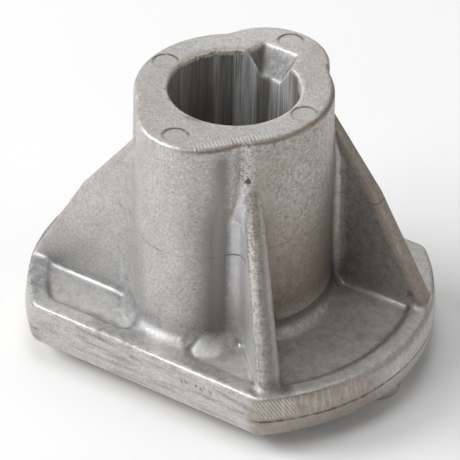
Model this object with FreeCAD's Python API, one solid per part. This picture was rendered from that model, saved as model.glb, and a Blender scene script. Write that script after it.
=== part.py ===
import FreeCAD, Part
import math
import os

V = FreeCAD.Vector

# Sizes in millimetres. The origin is on the bore axis at the plate's underside, where the blade
# seats. Z runs up the bore, X runs along the plate's two flats, and the key slot faces +Y.

# Shaft bore and key slot
bore_diameter = 22.2
mouth_chamfer = 0.2
slot_width_top = 7.0
slot_width_floor = 4.6
slot_reach_top = 14.4
slot_reach_floor = 11.3
slot_depth = 5.0

# Hub: a round body with a lobe towards each flat
hub_wall = 5.6
hub_top = 46.5
hub_draft = 0.5
hub_top_chamfer = 0.45
lobe_offset = 9.9
lobe_radius = 10.55
valley_radius = 5.0
foot_radius = 3.0

# Plate: a disc with two flats, drafted both ways from its joint line
plate_thickness = 8.0
plate_radius = 35.4
across_flats = 53.7
plate_corner = 3.2
joint_height = 3.5
draft_above = 0.6
draft_below = 0.6
plate_top_chamfer = 0.5
plate_seat_chamfer = 0.8

# Sunken floor of the plate's top, its sloping wall and the two bridges to the lobes
floor_depth = 0.8
rim_width = 3.0
floor_wall_run = 0.7
floor_corner = 2.2
bridge_width = 10.0
bridge_corner = 2.0

# Gussets: one each side, along X and offset from the axis
gusset_offset = 12.2
gusset_foot_thickness = 4.3
gusset_top_thickness = 2.8
gusset_toe = 32.0
gusset_shoulder_reach = 21.5
gusset_shoulder_height = 26.2
gusset_root_reach = 11.4
gusset_root_height = 39.0
shoulder_rounding = 25.0

# Ribs: one towards each rib corner of the plate
rib_angle = -45.0
rib_foot_thickness = 4.1
rib_top_thickness = 3.1
rib_toe = 33.6
rib_root_reach = 16.0
rib_root_height = 38.6

# Roundings shared by the webs
ridge_rounding = 1.0
web_foot_radius = 1.0
web_root_radius = 1.8
web_root_radius_top = 1.0
web_lobe_radius = 3.0
web_lobe_radius_top = 0.4
blend_drop = 1.3

# Ejector marks on the hub's top
mark_radius = 2.2
mark_depth = 0.15
mark_reach_x = 13.8
mark_reach_y = 17.2

# Drive pegs under the plate
peg_reach = 29.5
peg_radius = 4.4
peg_height = 3.2
peg_chamfer = 0.8

# How far joined bodies run into each other, and how far a blend bites into the faces it joins
overlap = 2.0
bite = 0.05

# Values that follow from the sizes above
bore_radius = bore_diameter / 2
hub_radius = bore_radius + hub_wall
floor_height = plate_thickness - floor_depth
web_bottom = floor_height - overlap / 2
half_flats = across_flats / 2
rim_inset = draft_above + rim_width
toe_inset = draft_above + plate_top_chamfer


def arc(first, middle, last):
    """Edge of the circle through three points."""
    return Part.Arc(first, middle, last).toShape()


def toward(centre, point, distance):
    """Point at a distance from a centre, in the direction of another point."""
    step = point - centre
    step.normalize()
    return centre + step * distance


def hub_growth(height):
    """How much wider than its top the drafted hub is at a height."""
    return hub_draft * (hub_top - height) / (hub_top - floor_height)


def hub_outline(height):
    """Hub outline: round body, two lobes, and hollow valleys that touch both."""
    grow = hub_growth(height)
    body = hub_radius + grow
    lobe = lobe_radius + grow
    hollow = valley_radius - grow
    to_axis = body + hollow
    to_lobe = lobe + hollow
    centre_y = (to_axis ** 2 - to_lobe ** 2 + lobe_offset ** 2) / (2 * lobe_offset)
    centre_x = math.sqrt(to_axis ** 2 - centre_y ** 2)

    def valley(side, end):
        axis = V(0, 0, height)
        lobe_centre = V(0, end * lobe_offset, height)
        centre = V(side * centre_x, end * centre_y, height)
        on_body = toward(axis, centre, body)
        on_lobe = toward(lobe_centre, centre, lobe)
        middle = toward(centre, (on_body + on_lobe) * 0.5, hollow)
        return on_body, middle, on_lobe

    front_right = valley(1, -1)
    back_right = valley(1, 1)
    back_left = valley(-1, 1)
    front_left = valley(-1, -1)
    edges = [
        arc(front_right[0], V(body, 0, height), back_right[0]),
        arc(back_right[0], back_right[1], back_right[2]),
        arc(back_right[2], V(0, lobe_offset + lobe, height), back_left[2]),
        arc(back_left[2], back_left[1], back_left[0]),
        arc(back_left[0], V(-body, 0, height), front_left[0]),
        arc(front_left[0], front_left[1], front_left[2]),
        arc(front_left[2], V(0, -lobe_offset - lobe, height), front_right[2]),
        arc(front_right[2], front_right[1], front_right[0]),
    ]
    return Part.Wire(edges)


def plate_outline(height, inset, corner):
    """Plate outline: two arcs, two flats and rounded corners, moved in by an inset."""
    radius = plate_radius - inset
    flat = half_flats - inset
    centre_y = flat - corner
    centre_x = math.sqrt((radius - corner) ** 2 - centre_y ** 2)

    def turn(side, end):
        axis = V(0, 0, height)
        centre = V(side * centre_x, end * centre_y, height)
        on_arc = toward(axis, centre, radius)
        on_flat = V(side * centre_x, end * flat, height)
        middle = toward(centre, (on_arc + on_flat) * 0.5, corner)
        return on_arc, middle, on_flat

    front_right = turn(1, -1)
    back_right = turn(1, 1)
    back_left = turn(-1, 1)
    front_left = turn(-1, -1)
    edges = [
        arc(front_right[0], V(radius, 0, height), back_right[0]),
        arc(back_right[0], back_right[1], back_right[2]),
        Part.makeLine(back_right[2], back_left[2]),
        arc(back_left[2], back_left[1], back_left[0]),
        arc(back_left[0], V(-radius, 0, height), front_left[0]),
        arc(front_left[0], front_left[1], front_left[2]),
        Part.makeLine(front_left[2], front_right[2]),
        arc(front_right[2], front_right[1], front_right[0]),
    ]
    return Part.Wire(edges)


def between(first, second):
    """Solid with straight walls between two outlines."""
    return Part.makeLoft([first, second], True, True)


def prism(points, step):
    """Solid swept straight from a closed polygon."""
    face = Part.Face(Part.makePolygon(points + points[:1]))
    return face.extrude(step)


def rounded_run(points, radius):
    """Edges of an open run of straight lines, each inner corner rounded by an arc that touches both."""
    edges = []
    start = points[0]
    for before, corner, after in zip(points, points[1:], points[2:]):
        back = toward(V(0, 0, 0), before - corner, 1)
        ahead = toward(V(0, 0, 0), after - corner, 1)
        inward = back + ahead
        half_bend = math.asin(min(1, inward.Length / 2))
        if half_bend > 0:
            tangent = radius * math.tan(half_bend)
            first = corner + back * tangent
            last = corner + ahead * tangent
            middle = toward(corner, corner + inward, radius / math.cos(half_bend) - radius)
            edges += [Part.makeLine(start, first), arc(first, middle, last)]
            start = last
    return edges + [Part.makeLine(start, points[-1])]


def slim_cone(first_radius, last_radius, base, along):
    """Cone, or cylinder where both radii agree, that runs past a length by an overlap at each end."""
    length = along.Length + 2 * overlap
    if first_radius == last_radius:
        return Part.makeCylinder(first_radius, length, base, along)
    return Part.makeCone(first_radius, last_radius, length, base, along)


def inside_plate(inset):
    """Upright column over the plate's outline moved in by an inset."""
    face = Part.Face(plate_outline(0, inset, plate_corner))
    return face.extrude(V(0, 0, hub_top))


def half_turn(shape):
    """The same shape on the opposite side of the bore axis."""
    copy = shape.copy()
    copy.rotate(V(0, 0, 0), V(0, 0, 1), 180)
    return copy


def edges_at(shape, height):
    """Edges that lie level at one height."""
    found = []
    for edge in shape.Edges:
        box = edge.BoundBox
        if abs(box.ZMin - height) < 1e-4 and abs(box.ZMax - height) < 1e-4:
            found.append(edge)
    return found


def edges_between(shape, first, second):
    """Edges where the surfaces of two joined bodies meet."""
    found = []
    for edge in shape.Edges:
        middle = edge.valueAt((edge.FirstParameter + edge.LastParameter) / 2)
        point = Part.Vertex(middle)
        if point.distToShape(first)[0] < 1e-3 and point.distToShape(second)[0] < 1e-3:
            found.append(edge)
    return found


def hollow_section(wall, floor, radius):
    """Section of a concave blend in the YZ plane, between an upright wall and a level floor."""
    middle = V(0, wall + radius - bite, floor + radius - bite)
    on_wall = middle - V(0, radius, 0)
    on_floor = middle - V(0, 0, radius)
    half_way = toward(middle, (on_wall + on_floor) * 0.5, radius)
    low = V(0, on_floor.y, floor - overlap / 2)
    deep = V(0, wall - overlap / 2, floor - overlap / 2)
    high = V(0, wall - overlap / 2, on_wall.z)
    edges = [
        arc(on_wall, half_way, on_floor),
        Part.makeLine(on_floor, low),
        Part.makeLine(low, deep),
        Part.makeLine(deep, high),
        Part.makeLine(high, on_wall),
    ]
    return Part.Face(Part.Wire(edges))


class Web:
    """Upright web along X: drafted sides, a rounded ridge, blends to the hub and the plate.

    The ridge is a list of points (x, z) from the hub down to the toe. The bore axis lies at
    y = -shift in the web's own frame, and lobe is the place of the nearer lobe's centre there.
    """

    def __init__(self, ridge, foot_thickness, top_thickness, shift, lobe):
        self.ridge = ridge
        self.foot = foot_thickness
        self.top = top_thickness
        self.shift = shift
        self.lobe = lobe
        self.root = math.sqrt(hub_radius ** 2 - shift ** 2)

    def half(self, height):
        """Half thickness at a height."""
        share = (height - plate_thickness) / (self.ridge[0][1] - plate_thickness)
        return (self.foot + (self.top - self.foot) * share) / 2

    def under_ridge(self, drop):
        """Wide prism of all that lies under the ridge line, lowered by a drop."""
        x_first, z_first = self.ridge[0]
        x_next, z_next = self.ridge[1]
        x_last, z_last = self.ridge[-2]
        x_toe, z_toe = self.ridge[-1]
        top_slope = (z_first - z_next) / (x_next - x_first)
        toe_slope = (z_last - z_toe) / (x_toe - x_last)
        x_in = self.root - 2 * overlap
        z_in = z_first + (x_first - x_in) * top_slope
        x_out = x_toe + (z_toe - web_bottom) / toe_slope
        line = [(x_out, web_bottom)] + self.ridge[-2:0:-1] + [(x_in, z_in)]
        points = [V(x, -hub_radius, z - drop) for x, z in line]
        corner = V(x_in, -hub_radius, web_bottom - drop)
        edges = rounded_run(points, shoulder_rounding)
        edges += [Part.makeLine(points[-1], corner), Part.makeLine(corner, points[0])]
        return Part.Face(Part.Wire(edges)).extrude(V(0, 2 * hub_radius, 0))

    def plain(self):
        """The web with its rounded ridge and no blends."""
        points = [
            V(0, -self.half(web_bottom), web_bottom),
            V(0, self.half(web_bottom), web_bottom),
            V(0, self.half(hub_top), hub_top),
            V(0, -self.half(hub_top), hub_top),
        ]
        shape = prism(points, V(plate_radius + overlap, 0, 0)).common(self.under_ridge(0))
        ridge_edges = []
        for edge in shape.Edges:
            box = edge.BoundBox
            if box.ZLength > bite and box.XLength > bite:
                ridge_edges.append(edge)
        return shape.makeFillet(ridge_rounding, ridge_edges)

    def root_blend(self, side, centre, wall_radius, low_fill, high_fill):
        """Metal that fills the upright corner between one side of the web and a round wall.

        A wedge over the corner is hollowed by a slim cone that touches the web and the wall.
        """
        outlines = []
        middles = []
        for height, fill in ((web_bottom, low_fill), (hub_top, high_fill)):
            reach = wall_radius + hub_growth(height) + fill - bite
            middle_y = side * (self.half(height) - bite + fill)
            middle_x = centre[0] + math.sqrt(reach ** 2 - (middle_y - centre[1]) ** 2)
            middle = V(middle_x, middle_y, height)
            deep_wall = toward(middle, V(centre[0], centre[1], height), fill + overlap)
            deep_root = V(self.root - overlap, 0, height)
            points = [V(middle_x, 0, height), middle, deep_wall, deep_root]
            outlines.append(Part.makePolygon(points + points[:1]))
            middles.append(middle)
        wedge = between(outlines[0], outlines[1])
        along = middles[1] - middles[0]
        taper = (high_fill - low_fill) / along.Length
        first = toward(middles[0], middles[1], -overlap)
        hollow = slim_cone(low_fill - taper * overlap, high_fill + taper * overlap, first, along)
        return wedge.cut(hollow).common(self.under_ridge(blend_drop))

    def foot_blends(self, floor):
        """Blends along both sides of the web where it meets a level floor."""
        section = hollow_section(self.half(floor + web_foot_radius), floor, web_foot_radius)
        section.translate(V(self.root - overlap, 0, 0))
        strip = section.extrude(V(plate_radius, 0, 0))
        return [strip, strip.mirror(V(0, 0, 0), V(0, 1, 0))]

    def bodies(self, angle):
        """All bodies of the web in the part's frame, trimmed to the plate."""

        def placed(shape):
            shape.translate(V(0, self.shift, 0))
            shape.rotate(V(0, 0, 0), V(0, 0, 1), angle)
            return shape

        lobe_side = 1 if self.lobe[1] > -self.shift else -1
        solid = self.plain()
        axis = (0, -self.shift)
        open_root = self.root_blend(-lobe_side, axis, hub_radius, web_root_radius, web_root_radius_top)
        lobe_root = self.root_blend(lobe_side, self.lobe, lobe_radius, web_lobe_radius, web_lobe_radius_top)
        found = [placed(body).common(inside_plate(toe_inset)) for body in (solid, open_root, lobe_root)]
        for strip in self.foot_blends(floor_height):
            found.append(placed(strip).common(inside_plate(rim_inset)))
        return found


def gusset():
    """Gusset on the +X side: its ridge breaks at a shoulder, and the back lobe is beside it."""
    ridge = [
        (gusset_root_reach, gusset_root_height),
        (gusset_shoulder_reach, gusset_shoulder_height),
        (gusset_toe, plate_thickness),
    ]
    lobe = (0, lobe_offset - gusset_offset)
    return Web(ridge, gusset_foot_thickness, gusset_top_thickness, gusset_offset, lobe).bodies(0)


def rib():
    """Radial rib towards a plate corner, with the front lobe beside it."""
    ridge = [(rib_root_reach, rib_root_height), (rib_toe, plate_thickness)]
    turn = math.radians(-90 - rib_angle)
    lobe = (lobe_offset * math.cos(turn), lobe_offset * math.sin(turn))
    return Web(ridge, rib_foot_thickness, rib_top_thickness, 0, lobe).bodies(rib_angle)


def bridge(top):
    """Land that joins the rim to the front lobe, with steep sides above the plate's top."""
    low = bridge_width / 2 + floor_wall_run
    middle = bridge_width / 2
    high = middle - floor_wall_run
    points = [
        V(-low, 0, floor_height),
        V(low, 0, floor_height),
        V(middle, 0, plate_thickness),
        V(high, 0, top),
        V(-high, 0, top),
        V(-middle, 0, plate_thickness),
    ]
    return prism(points, V(0, -half_flats, 0))


def plate():
    """Plate with its sunken floor, leaving a rim and a bridge to each lobe."""
    lower = between(
        plate_outline(0, draft_below, plate_corner - draft_below),
        plate_outline(joint_height, 0, plate_corner),
    )
    upper = between(
        plate_outline(joint_height, 0, plate_corner),
        plate_outline(plate_thickness, draft_above, plate_corner - draft_above),
    )
    shape = lower.fuse(upper)
    shape = shape.makeChamfer(plate_top_chamfer, edges_at(shape, plate_thickness))
    shape = shape.makeChamfer(plate_seat_chamfer, edges_at(shape, 0))
    sunken_top = plate_thickness + floor_depth
    sunken = between(
        plate_outline(floor_height, rim_inset + floor_wall_run, floor_corner - floor_wall_run),
        plate_outline(sunken_top, rim_inset - floor_wall_run, floor_corner + floor_wall_run),
    )
    land = bridge(sunken_top)
    for piece in (land, half_turn(land)):
        sunken = sunken.cut(piece)
    sunken = sunken.removeSplitter()
    corners = []
    for edge in sunken.Edges:
        box = edge.BoundBox
        beside_bridge = abs(abs(box.Center.x) - bridge_width / 2) < floor_wall_run
        if box.ZLength > floor_depth and beside_bridge and abs(box.Center.y) > half_flats - rim_inset - overlap:
            corners.append(edge)
    sunken = sunken.makeFillet(bridge_corner, corners)
    return shape.cut(sunken)


def lobe_foot():
    """Foot of the front lobe on its bridge: the same foot radius, one floor depth higher."""
    wall = lobe_radius + hub_growth(plate_thickness + foot_radius)
    section = hollow_section(wall, plate_thickness, foot_radius)
    ring = section.revolve(V(0, 0, 0), V(0, 0, 1), 360)
    ring.translate(V(0, -lobe_offset, 0))
    return ring.common(bridge(plate_thickness + foot_radius))


def hub():
    """Hub standing on the sunken floor, with its foot radius."""
    column = between(hub_outline(floor_height - overlap), hub_outline(hub_top))
    column = column.makeChamfer(hub_top_chamfer, edges_at(column, hub_top))
    ground = Part.Face(plate_outline(floor_height - overlap, rim_inset, plate_corner))
    ground = ground.extrude(V(0, 0, overlap))
    shape = column.fuse(ground)
    return shape.makeFillet(foot_radius, edges_between(shape, column, ground))


def key_slot():
    """Tapered slot at the bore's mouth, widest and deepest at the top, with bevelled top edges."""

    def outline(height, flare):
        share = (height - hub_top + slot_depth) / slot_depth
        half = (slot_width_floor + (slot_width_top - slot_width_floor) * share) / 2 + flare
        reach = slot_reach_floor + (slot_reach_top - slot_reach_floor) * share + flare
        points = [V(-half, 0, height), V(half, 0, height), V(half, reach, height), V(-half, reach, height)]
        return Part.makePolygon(points + points[:1])

    slot = between(outline(hub_top - slot_depth, 0), outline(hub_top + overlap, 0))
    bevel = between(
        outline(hub_top - mouth_chamfer, 0),
        outline(hub_top + mouth_chamfer, 2 * mouth_chamfer),
    )
    return slot.fuse(bevel)


def bore():
    """Through bore with a bevelled mouth."""
    hole = Part.makeCylinder(bore_radius, hub_top + 2 * overlap, V(0, 0, -overlap))
    flared = bore_radius + 2 * mouth_chamfer
    bevel = Part.makeCone(bore_radius, flared, 2 * mouth_chamfer, V(0, 0, hub_top - mouth_chamfer))
    return hole.fuse(bevel)


def peg():
    """Drive peg on the +X side, with a bevelled tip."""
    shape = Part.makeCylinder(peg_radius, peg_height + overlap, V(peg_reach, 0, -peg_height))
    return shape.makeChamfer(peg_chamfer, edges_at(shape, -peg_height))


casting = plate().fuse(hub())
bodies = [lobe_foot(), peg()] + gusset() + rib()
for body in bodies:
    for copy in (body, half_turn(body)):
        casting = casting.fuse(copy)
casting = casting.cut(bore())
casting = casting.cut(key_slot())
for x, y in ((mark_reach_x, 0), (-mark_reach_x, 0), (0, mark_reach_y), (0, -mark_reach_y)):
    casting = casting.cut(Part.makeCylinder(mark_radius, overlap, V(x, y, hub_top - mark_depth)))
casting = casting.removeSplitter()
os.makedirs("parts", exist_ok=True)
casting.Solids[0].exportStep("parts/blade_adapter.step")
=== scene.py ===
import math

import bpy
import numpy as np
import openvdb
from mathutils import Matrix, Vector


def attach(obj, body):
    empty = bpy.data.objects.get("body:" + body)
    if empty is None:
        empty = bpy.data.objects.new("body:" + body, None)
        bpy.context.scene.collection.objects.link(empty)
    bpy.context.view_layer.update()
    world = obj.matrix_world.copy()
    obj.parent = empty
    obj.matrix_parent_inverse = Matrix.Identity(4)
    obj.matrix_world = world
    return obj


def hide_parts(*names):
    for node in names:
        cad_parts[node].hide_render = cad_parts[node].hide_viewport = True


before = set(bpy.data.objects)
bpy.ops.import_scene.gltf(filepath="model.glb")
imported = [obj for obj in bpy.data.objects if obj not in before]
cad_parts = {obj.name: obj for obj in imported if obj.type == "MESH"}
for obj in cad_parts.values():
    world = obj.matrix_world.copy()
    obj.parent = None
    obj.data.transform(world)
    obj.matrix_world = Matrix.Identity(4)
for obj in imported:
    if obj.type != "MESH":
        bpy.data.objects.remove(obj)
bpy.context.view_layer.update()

# The casting: the whole adapter is one aluminium die casting, a lobed hub on a flat-sided plate with
# two gussets, two ribs and two drive pegs. Its skin is as cast, with drafted walls, rounded edges and
# a fillet at every foot; the bore is the one worked surface. Sizes are in millimetres.
GRID_STEP = 0.3
GRID_LOW = np.array((-36.6, -28.2, -4.4))
GRID_SPAN = np.array((73.2, 56.4, 52.2))

grid_cells = np.round(GRID_SPAN / GRID_STEP).astype(int)
x, y, z = (
    (GRID_LOW[axis] + GRID_STEP * np.arange(grid_cells[axis] + 1)).astype(np.float32)
    for axis in range(3)
)
x = x[:, None, None]
y = y[None, :, None]
z = z[None, None, :]
from_axis = np.hypot(x, y)


def joined(first, second, radius):
    """Union of two distance fields with a hollow fillet: inside the radius of both, the distance is
    the radius less the length of the two shortfalls."""
    shortfall = np.hypot(np.maximum(radius - first, 0), np.maximum(radius - second, 0))
    return np.maximum(radius, np.minimum(first, second)) - shortfall


def common(first, second, radius):
    """Part that two distance fields share, with a rounded edge: past the radius of both, the distance
    is the length of the two excesses less the radius."""
    excess = np.hypot(np.maximum(radius + first, 0), np.maximum(radius + second, 0))
    return np.minimum(-radius, np.maximum(first, second)) + excess


# Plate: a disc with two flats, drafted both ways from the joint line of the die, with sunken floors.
PLATE_TOP = 8.0
PLATE_RADIUS = 35.4
HALF_FLATS = 26.85
PLATE_CORNER = 3.2
PLATE_DRAFT = 0.6
PLATE_TOP_ROUNDING = 0.6
PLATE_SEAT_ROUNDING = 0.9
JOINT_HEIGHT = 3.5
FLOOR_DEPTH = 0.8
FLOOR_LEVEL = PLATE_TOP - FLOOR_DEPTH
FLOOR_WALL_RUN = 0.7
FLOOR_CORNER = 2.2
FLOOR_ROUNDING = 0.35
RIM_INSET = 3.6
BRIDGE_HALF_WIDTH = 5.0
BRIDGE_CORNER = 2.0


def plate_outline(inset, corner):
    """Distance from the plate's outline in plan, moved in by an inset: a circle cut by two flats,
    with corner circles that touch both."""
    radius = PLATE_RADIUS - inset
    flat = HALF_FLATS - inset
    corner_y = flat - corner
    corner_x = math.sqrt((radius - corner) ** 2 - corner_y ** 2)
    across, along = np.abs(x), np.abs(y)
    edge = np.maximum(from_axis - radius, along - flat)
    turn = np.hypot(across - corner_x, along - corner_y) - corner
    by_corner = (corner_x * along - corner_y * across > 0) & (across > corner_x)
    return np.where(by_corner, turn, edge)


def plate_field(rim):
    """Distance from the plate: the drafted rim between top and seat, less the sunken floors, whose
    walls lean back and which stop at the bridges to the lobes."""
    below = PLATE_DRAFT * np.maximum(JOINT_HEIGHT - z, 0) / JOINT_HEIGHT
    above = PLATE_DRAFT * np.maximum(z - JOINT_HEIGHT, 0) / (PLATE_TOP - JOINT_HEIGHT)
    plate = common(rim + below + above, z - PLATE_TOP, PLATE_TOP_ROUNDING)
    plate = common(plate, -z, PLATE_SEAT_ROUNDING)
    steep = FLOOR_DEPTH / math.hypot(FLOOR_DEPTH, FLOOR_WALL_RUN)
    lean = (PLATE_TOP - z) * FLOOR_WALL_RUN / FLOOR_DEPTH
    sunken = common(
        (plate_outline(RIM_INSET, FLOOR_CORNER) + lean) * steep,
        (BRIDGE_HALF_WIDTH + lean - np.abs(x)) * steep,
        BRIDGE_CORNER,
    )
    sunken = common(sunken, FLOOR_LEVEL - z, FLOOR_ROUNDING)
    return common(plate, -sunken, FLOOR_ROUNDING)


# Hub: a round body with a lobe towards each flat, drafted, run down into the plate.
HUB_RADIUS = 16.7
HUB_TOP = 46.5
HUB_DRAFT = 0.5
HUB_TOP_ROUNDING = 0.65
LOBE_OFFSET = 9.9
LOBE_RADIUS = 10.55
VALLEY_RADIUS = 5.0
BODY_BOTTOM = 1.0


def hub_outline():
    """Distance from the hub's outline in plan: a round body, a lobe each way along y, and hollow
    valleys whose circles touch both. The nearest of the three circles gives the distance."""
    to_axis = HUB_RADIUS + VALLEY_RADIUS
    to_lobe = LOBE_RADIUS + VALLEY_RADIUS
    valley_y = (to_axis ** 2 - to_lobe ** 2 + LOBE_OFFSET ** 2) / (2 * LOBE_OFFSET)
    valley_x = math.sqrt(to_axis ** 2 - valley_y ** 2)
    across, along = np.abs(x), np.abs(y)
    body = from_axis - HUB_RADIUS
    lobe = np.hypot(across, along - LOBE_OFFSET) - LOBE_RADIUS
    valley = VALLEY_RADIUS - np.hypot(across - valley_x, along - valley_y)
    by_body = valley_x * along - valley_y * across < 0
    by_lobe = valley_x * (along - LOBE_OFFSET) - (valley_y - LOBE_OFFSET) * across > 0
    either = np.where(by_body, body, lobe)
    either = np.where(by_body & by_lobe, np.minimum(body, lobe), either)
    return np.where(by_body | by_lobe, either, valley)


def hub_field():
    """Distance from the hub: its outline, grown downwards by the draft, under its rounded top."""
    grown = HUB_DRAFT * (HUB_TOP - z) / (HUB_TOP - FLOOR_LEVEL)
    hub = common(hub_outline() - grown, z - HUB_TOP, HUB_TOP_ROUNDING)
    return np.maximum(hub, BODY_BOTTOM - z)


def tapered(pair, bottom=FLOOR_LEVEL, top=HUB_TOP):
    """Size that runs straight from its first value at the bottom to its second at the top."""
    return pair[0] + (pair[1] - pair[0]) * (z - bottom) / (top - bottom)


# Webs: a gusset each way along x, beside the axis, and a rib on each end of one diagonal. A ridge is
# a list of places along the web and heights; root radii are at the foot and at the hub's top.
GUSSET_OFFSET = 12.2
GUSSET_RIDGE = ((11.4, 39.0), (21.5, 26.2), (32.0, 8.0))
GUSSET_THICKNESS = (4.3, 2.8)
GUSSET_RIDGE_ROUNDING = 1.0
RIB_ANGLE = math.radians(-45)
RIB_RIDGE = ((16.0, 38.6), (33.6, 8.0))
RIB_THICKNESS = (4.1, 3.1)
RIB_RIDGE_ROUNDING = 1.45
WEB_TOE_INSET = 1.2
WEB_BURIAL = 4.0
WEB_OVER_RIDGE = 0.5
WEB_OPEN_ROOT = (2.4, 1.7)
WEB_LOBE_ROOT = (3.1, 2.6)
LEAST_ROOT = 0.4
RIDGE_CLEAR = 2.2
RIDGE_ROOT_SHARE = 0.08


def over_ridge(along, height, ridge):
    """Height over a web's ridge, square to it: the greatest over the ridge's straight runs."""
    over = None
    for (x_first, z_first), (x_last, z_last) in zip(ridge, ridge[1:]):
        run, fall = x_last - x_first, z_first - z_last
        one = ((along - x_first) * fall + (height - z_first) * run) / math.hypot(run, fall)
        over = one if over is None else np.maximum(over, one)
    return over


def web(along, across, ridge, thickness, rounding, rim):
    """Distance from one web: sides that lean in with height, under a rounded ridge, ended at the
    plate's rim; and the height over the ridge."""
    half = tapered(thickness, PLATE_TOP, ridge[0][1]) / 2
    over = over_ridge(along, z, ridge)
    shape = common(np.abs(across) - half, over, rounding)
    shape = np.maximum(shape, rim + WEB_TOE_INSET)
    shape = np.maximum(shape, z - ridge[0][1] - WEB_OVER_RIDGE)
    shape = np.maximum(shape, np.maximum(ridge[0][0] - WEB_BURIAL - along, BODY_BOTTOM - z))
    return shape, over


def half_turned(field):
    """The same field on the other side of the bore axis."""
    return field[::-1, ::-1, :]


def with_webs(hub, rim):
    """Distance from the hub with its webs, and from the nearest web alone. The root fillets are wider
    on a web's side to its lobe, and run out towards the ridge."""
    turned_x = x * math.cos(RIB_ANGLE) + y * math.sin(RIB_ANGLE)
    turned_y = y * math.cos(RIB_ANGLE) - x * math.sin(RIB_ANGLE)
    upright, nearest = hub, None
    for along, across, ridge, thickness, rounding, lobe_side in (
        (x, y - GUSSET_OFFSET, GUSSET_RIDGE, GUSSET_THICKNESS, GUSSET_RIDGE_ROUNDING, 1),
        (turned_x, turned_y, RIB_RIDGE, RIB_THICKNESS, RIB_RIDGE_ROUNDING, -1),
    ):
        shape, over = web(along, across, ridge, thickness, rounding, rim)
        root = np.where(across * lobe_side > 0, tapered(WEB_LOBE_ROOT), tapered(WEB_OPEN_ROOT))
        root = np.clip(root, LEAST_ROOT, None) * np.clip(-over / RIDGE_CLEAR, RIDGE_ROOT_SHARE, 1)
        for one, radius in ((shape, root), (half_turned(shape), half_turned(root))):
            upright = joined(upright, one, radius)
            nearest = one if nearest is None else np.minimum(nearest, one)
    return upright, nearest


# Feet: a fillet round the hub and the webs where they stand on the plate. It is wider between each
# lobe and its rib, where the die's corner is open.
FOOT_RADIUS = 3.0
WIDE_FOOT_RADIUS = 4.4
WIDE_FOOT_START = 5.0
WIDE_FOOT_RUN = 2.0
WEB_FOOT_RADIUS = 1.0


def foot_radius(hub, nearest_web):
    """Radius of the foot fillet: the hub's, passing over to the webs' where a web is nearer."""
    by_lobe = (x * y < 0) & (np.abs(y) > np.abs(x))
    wide = np.clip((np.abs(x) - WIDE_FOOT_START) / WIDE_FOOT_RUN, 0, 1)
    hub_foot = FOOT_RADIUS + (WIDE_FOOT_RADIUS - FOOT_RADIUS) * by_lobe * wide
    share = np.clip((nearest_web - hub) / FOOT_RADIUS + 0.5, 0, 1)
    return WEB_FOOT_RADIUS + (hub_foot - WEB_FOOT_RADIUS) * share


# Pegs: two short studs below the plate that drive the blade.
PEG_REACH = 29.5
PEG_RADIUS = 4.4
PEG_TIP = -3.2
PEG_ROUNDING = 0.9
PEG_FILLET = 0.5


def peg_field():
    """Distance from both pegs: a round stud each way along x with a rounded tip."""
    round_wall = np.hypot(np.abs(x) - PEG_REACH, y) - PEG_RADIUS
    return np.maximum(common(round_wall, PEG_TIP - z, PEG_ROUNDING), z - JOINT_HEIGHT)


# Skin: the cast surface waves a little, and the die's joint leaves a fine groove round the arcs.
SKIN_SHRINK = 0.03
SKIN_WAVE = 0.02
WAVE_COUNT = 10
WAVE_LENGTHS = (3.0, 14.0)
GROOVE_DEPTH = 0.14
GROOVE_HALF_WIDTH = 0.22
GROOVE_START = 34.2
GROOVE_RUN = 0.4


def skin_waves():
    """Low waves of a cast skin: the sum of plane waves in seeded directions, lengths and phases."""
    random = np.random.default_rng(7)
    total = 0
    for length in np.geomspace(*WAVE_LENGTHS, WAVE_COUNT):
        way = random.normal(size=3)
        way *= 2 * math.pi / length / np.linalg.norm(way)
        total = total + np.sin(way[0] * x + way[1] * y + way[2] * z + random.uniform(0, 6.3))
    return (total / WAVE_COUNT).astype(np.float32)


def joint_groove():
    """Depth of the joint line's groove: a bell over the height, on the plate's arcs only."""
    depth = GROOVE_DEPTH * np.exp(-((z - JOINT_HEIGHT) / GROOVE_HALF_WIDTH) ** 2)
    return depth * np.clip((from_axis - GROOVE_START) / GROOVE_RUN, 0, 1)


# Bore with its key slot, and four shallow marks of the ejector pins on the hub's top. Slot sizes are
# at its floor and at the top; the slopes bring its slanted walls back to true distances.
BORE_RADIUS = 11.1
MOUTH_ROUNDING = 0.3
SLOT_WIDTH = (3.6, 6.9)
SLOT_REACH = (11.05, 14.4)
SLOT_FLARE = 0.26
SLOT_SIDE_SLOPE = 0.92
SLOT_BACK_SLOPE = 0.86
SLOT_CORNER = 0.4
SLOT_EDGE = (0.1, 0.4)
SLOT_DEPTH = 4.8
MARK_RADIUS = 2.2
MARK_DEPTH = 0.15
MARK_PLACES = ((13.8, 0), (-13.8, 0), (0, 17.2), (0, -17.2))


def slot_field():
    """Distance from the key slot: sides that flare towards the bore, a leaning back and a flat floor."""
    slot_floor = HUB_TOP - SLOT_DEPTH
    short_of_back = tapered(SLOT_REACH, slot_floor) - y
    half_width = tapered(SLOT_WIDTH, slot_floor) / 2
    slot = common(
        (np.abs(x) - half_width - SLOT_FLARE * short_of_back) * SLOT_SIDE_SLOPE,
        -short_of_back * SLOT_BACK_SLOPE,
        SLOT_CORNER,
    )
    edge = np.clip(tapered(SLOT_EDGE, slot_floor), *SLOT_EDGE)
    return np.maximum(np.maximum(slot, slot_floor - z), -y), edge


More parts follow.
